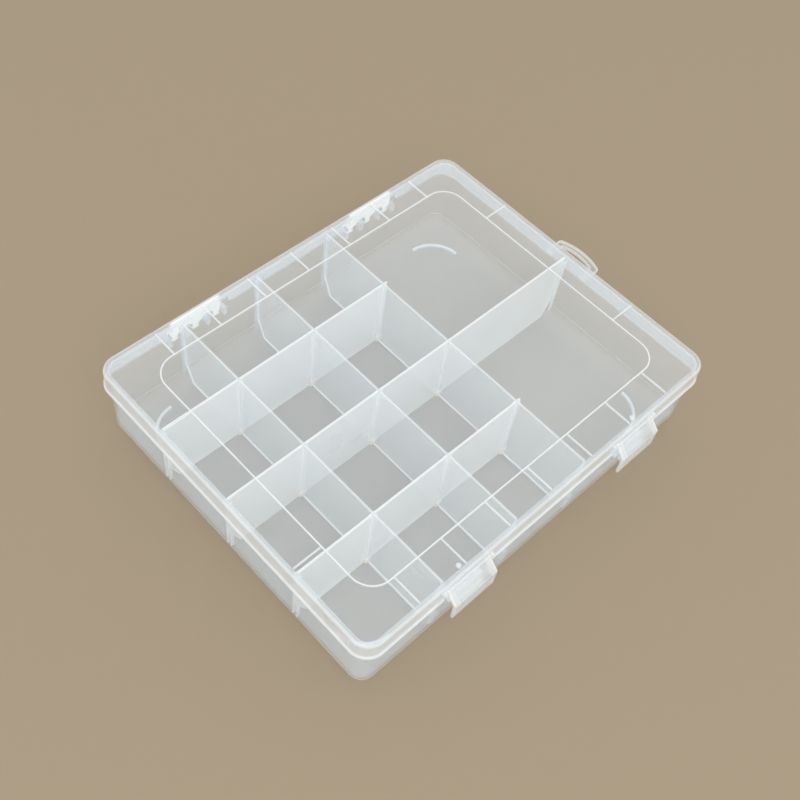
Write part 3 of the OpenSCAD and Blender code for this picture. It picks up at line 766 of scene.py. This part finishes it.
class BOX_OT_latches(bpy.types.Operator):
    """Two swinging latches: a sloping plate, a hanging flap and a hook behind"""

    bl_idname = "box.latches"
    bl_label = "Latches"

    bend_from_pivot = np.array([-5.5, -5.6]) * MM  # in y and z

    def execute(self, context):
        for name in ("latch_left", "latch_right"):
            self.latch(name)
        return {"FINISHED"}

    def latch(self, name):
        """Plate, hook and pivot pin of one latch."""
        pivot = JOINT_AT[f"{name}_pivot"]
        skin = Skin()
        self.strip(skin, pivot, cad_box(name)[0][2])
        root_y, nose_y = pivot[1] + self.bend_from_pivot[0] + 0.5 * MM, -96.9 * MM
        wedge = np.array([(root_y, 30.8 * MM), (nose_y, 32.3 * MM), (nose_y, 33 * MM),
                          (root_y, 34.6 * MM)])
        skin.plate(wedge, 9 * MM, 0.2 * MM, "x", (pivot[0], 0, 0), 0.4, 0.1, soft=0.1 * MM)
        skin.plate(arc((0, 0), 0.7 * MM, 0, 330, 11), 15 * MM, 0.15 * MM, "x", pivot,
                   0.4, 0.4)
        skin.build(f"{name}_plate", name, "latch_plastic", plastic("latch_white"), (name,))

    def strip(self, skin, pivot, tip_z):
        """The section in (y, z) is carried along x. It is inset round the ends, narrows
        round the lower corners by r - sqrt(r^2 - gap^2), gap being how far a point lies
        inside the corner's height, and is sunk between the margins of the sloping plate."""
        half, r, edge = 13.5 * MM, 1.2 * MM, 0.4 * MM
        margin, step = half - 3.5 * MM, 0.4 * MM
        a = np.radians(np.linspace(0, 90, 4))
        stations = [(-half + edge * (1 - math.cos(t)), edge * (1 - math.sin(t))) for t in a]
        stations += [(x, 0) for x in (1.6 * MM - half, -margin, step - margin, -margin / 2, 0)]
        stations += [(-x, d) for x, d in reversed(stations[:-1])]
        section, sunk = self.section(pivot[1:], tip_z)
        loops, rims = [], []
        for x, d in stations:
            inside = abs(x) < margin - 0.1 * MM
            ring = inset(section, d) + (sunk if inside else 0)
            gap = np.clip(tip_z + r - ring[:, 1], 0, r)
            width = 1 - (r - np.sqrt(np.maximum(r * r - gap * gap, 0))) / half
            loops.append(np.stack([pivot[0] + x * width, ring[:, 0], ring[:, 1]], axis=-1))
            # The margins, the tip and the ends carry a painted highlight.
            rim = np.full(len(section), 0.0 if inside else 0.3)
            rim[ring[:, 1] < tip_z + 1 * MM] = 0.6
            if abs(x) > half - 0.6 * MM:
                rim[:] = 0.75
            rims.append(rim)
        skin.add(loops, rims)

    def section(self, pivot, tip_z):
        """Outline in (y, z) of the strip: round its barrel, down the outer face over the
        bend, and round the tip. Also how far each point is sunk in the middle of the
        sloping plate. Each out is its own down turned a quarter, away from the box."""
        barrel, half, sink = 1.2 * MM, 0.75 * MM, 0.35 * MM
        bend = pivot + self.bend_from_pivot
        tip = np.array([bend[0], tip_z + half])
        length = np.linalg.norm(bend - pivot)
        down = (bend - pivot) / length
        out = np.array([down[1], -down[0]])
        tip_out = np.array([-1.0, 0.0])
        root = math.sqrt(barrel ** 2 - half ** 2) * down
        start, end = (math.degrees(math.atan2(z, y))
                      for y, z in (root - half * out, root + half * out))
        marks = np.array([1.75 * MM, 2.1 * MM, length / 2, length - 0.95 * MM,
                          length - 0.6 * MM])
        top = arc(pivot, barrel, start, end + 360, 20)
        face = pivot + half * out + marks[:, None] * down
        mitre = (out + tip_out) / (1 + out @ tip_out) * half
        points = np.concatenate([
            top, face, [bend + mitre], arc(tip, half, 180, 360, 8), [bend - mitre]])
        sunk = np.zeros_like(points)
        sunk[len(top):len(top) + len(face)] = -sink * np.outer([0, 1, 1, 1, 0], out)
        return points, sunk


class BOX_OT_dividers(bpy.types.Operator):
    """Six cross-lapped dividers, with the ribs and feet where they cross"""

    bl_idname = "box.dividers"
    bl_label = "Dividers"

    def execute(self, context):
        s = context.scene.box_sizes
        middle = {name: sum(cad_box(name)) / 2 for name in LONG_DIVIDERS + CROSS_DIVIDERS}
        xs = [middle[name][0] for name in CROSS_DIVIDERS]
        ys = [middle[name][1] for name in LONG_DIVIDERS]
        for name in LONG_DIVIDERS:
            self.panel(name, 0, xs, "panel_milky", s)
        for name in CROSS_DIVIDERS:
            self.panel(name, 1, ys, "panel_clear", s)
        self.crossings(xs, ys)
        return {"FINISHED"}

    def panel(self, name, run, slots, finish, s):
        """One divider, which runs along axis 0 or 1 and has half-lap slots."""
        low, high = cad_box(name)
        across = 1 - run
        loops = plate_loops(self.outline(low, high, run, slots, s),
                            (high[across] - low[across]) / 2, s.edge_round)
        at = np.zeros(3)
        at[across] = (low[across] + high[across]) / 2
        skin = Skin()
        skin.add(turned(loops, "xy"[across], at), self.brightness(loops))
        skin.build(f"{name}_panel", "tray", "panel_plastic", plastic(finish), (name,))

    def outline(self, low, high, run, slots, s):
        """Outline with slanted lower corners. The long dividers have their slots at the
        top and the cross ones at the bottom."""
        a, b, z0, z1 = low[run], high[run], low[2], high[2]
        slant, slant_z = s.lower_edge - s.wall, z0 + 13 * MM
        half, mid = 0.75 * MM, (z0 + z1) / 2
        bottom, top = [], []
        for p in slots:
            if run == 1:
                bottom += [(p - half, z0), (p - half, mid), (p + half, mid), (p + half, z0)]
            else:
                top += [(p - half, z1), (p - half, mid), (p + half, mid), (p + half, z1)]
        far = [(b - slant, z0), (b, slant_z)] if reaches_wall(high, run) else [(b, z0)]
        return np.array([(a, slant_z), (a + slant, z0), *bottom, *far, (b, z1), *top[::-1],
                         (a, z1)])

    def brightness(self, loops):
        """Painted highlight along every edge, and less along the top, which catches more light.
        """
        rim = plate_rim(loops)
        top = loops[..., 1].max()
        rim[(loops[..., 1] > top - 0.3 * MM) & (rim > 0)] = 0.4
        return rim

    def crossings(self, xs, ys):
        """At each crossing an upright rib on both faces of the long divider, which the
        cross divider's slot passes, and a small foot."""
        low, high = (corner[2] for corner in cad_box(CROSS_DIVIDERS[-1]))
        ribs, feet = Skin(), Skin()
        # Each form: its skin, half width, depth, lowest and highest z, rounding, painted
        # highlight
        forms = ((ribs, 2.1 * MM, 1.3 * MM, low + 0.1 * MM, high - 1 * MM, 0.6 * MM, 0.3),
                 (feet, 2.2 * MM, 1.9 * MM, low + 0.05 * MM, low + 4.4 * MM, 0.4 * MM, 0.4))
        for x in xs:
            for y in ys:
                for side in SIDES:
                    for skin, half, deep, z0, z1, r, bright in forms:
                        skin.bar((x - half, y, z0), (x + half, y + side * deep, z1), r, bright)
        ribs.build("divider_guides", "tray", "panel_plastic", plastic("panel_milky"))
        feet.build("divider_feet", "tray", "panel_plastic", plastic("foot_cream"))


class BOX_OT_stage(bpy.types.Operator):
    """Plain floor, soft light and the camera"""

    bl_idname = "box.stage"
    bl_label = "Stage"

    def execute(self, context):
        scene = context.scene
        look = scene.box_stage
        self.floor(scene, look)
        self.light(scene, look)
        self.camera(scene, look)
        scene.view_settings.view_transform = "Standard"
        scene.cycles.transparent_max_bounces = 64
        scene.cycles.diffuse_bounces = 8
        return {"FINISHED"}

    def floor(self, scene, look):
        """A plain square floor under the feet."""
        mesh = bpy.data.meshes.new("floor")
        h = 6.0
        mesh.from_pydata([(-h, -h, 0), (h, -h, 0), (h, h, 0), (-h, h, 0)], [], [(0, 1, 2, 3)])
        material = bpy.data.materials.new("floor")
        material.use_nodes = True
        shader = next(n for n in material.node_tree.nodes if n.type == "BSDF_PRINCIPLED")
        shader.inputs["Base Color"].default_value = (*look.floor, 1)
        shader.inputs["Roughness"].default_value = 0.75
        mesh.materials.append(material)
        floor = bpy.data.objects.new("floor", mesh)
        floor.location = (0, 0, -0.05 * MM)
        scene.collection.objects.link(floor)

    def light(self, scene, look):
        """Even sky and one large soft light high on the camera's side."""
        world = bpy.data.worlds.new("sky")
        scene.world = world
        world.use_nodes = True
        back = next(n for n in world.node_tree.nodes if n.type == "BACKGROUND")
        back.inputs["Color"].default_value = (1.0, 1.0, 1.0, 1)
        back.inputs["Strength"].default_value = look.sky
        data = bpy.data.lights.new("key", "AREA")
        data.shape = "DISK"
        data.size = 1.4
        data.energy = look.key
        lamp = bpy.data.objects.new("key", data)
        lamp.location = (-0.75, -0.95, 1.5)
        aim = Vector((0, 0, 0)) - lamp.location
        lamp.rotation_euler = aim.to_track_quat("-Z", "Y").to_euler()
        scene.collection.objects.link(lamp)

    def camera(self, scene, look):
        """Camera above the hang loop's far corner, looking down across the box."""
        data = bpy.data.cameras.new("camera")
        data.sensor_width = 36
        data.lens = look.lens
        data.clip_start = 0.01
        camera = bpy.data.objects.new("camera", data)
        right = Vector((0.72141, -0.68535, 0.09928))
        up = Vector((0.52643, 0.63588, 0.56438))
        back = right.cross(up)
        turn = Matrix((right, up, back)).transposed().to_4x4()
        camera.matrix_world = Matrix.Translation((-0.25246, -0.19514, 0.47428)) @ turn
        scene.collection.objects.link(camera)
        scene.camera = camera


class BOX_PT_panel(bpy.types.Panel):
    """Buttons for the pieces and the stage"""

    bl_idname = "BOX_PT_panel"
    bl_label = "Parts Box"
    bl_space_type = "VIEW_3D"
    bl_region_type = "UI"
    bl_category = "Parts Box"

    def draw(self, context):
        layout = self.layout
        for operator in OPERATORS:
            layout.operator(operator.bl_idname)
        for group in (context.scene.box_sizes, context.scene.box_looks,
                      context.scene.box_stage):
            column = layout.column()
            for key in group.__annotations__:
                column.prop(group, key)


GROUPS = {"box_sizes": BOX_PG_sizes, "box_looks": BOX_PG_looks, "box_stage": BOX_PG_stage}
OPERATORS = (BOX_OT_tray, BOX_OT_hinges, BOX_OT_lid, BOX_OT_latches, BOX_OT_dividers,
             BOX_OT_stage)


def register():
    for group in GROUPS.values():
        bpy.utils.register_class(group)
    for name, group in GROUPS.items():
        setattr(bpy.types.Scene, name, bpy.props.PointerProperty(type=group))
    for operator in OPERATORS:
        bpy.utils.register_class(operator)
    bpy.utils.register_class(BOX_PT_panel)


def unregister():
    bpy.utils.unregister_class(BOX_PT_panel)
    for operator in reversed(OPERATORS):
        bpy.utils.unregister_class(operator)
    for name, group in reversed(GROUPS.items()):
        delattr(bpy.types.Scene, name)
        bpy.utils.unregister_class(group)


def main():
    register()
    for step in (bpy.ops.box.tray, bpy.ops.box.hinges, bpy.ops.box.lid, bpy.ops.box.latches,
                 bpy.ops.box.dividers, bpy.ops.box.stage):
        if step() != {"FINISHED"}:
            raise RuntimeError("a step of the scene did not finish")


if __name__ == "__main__":
    main()
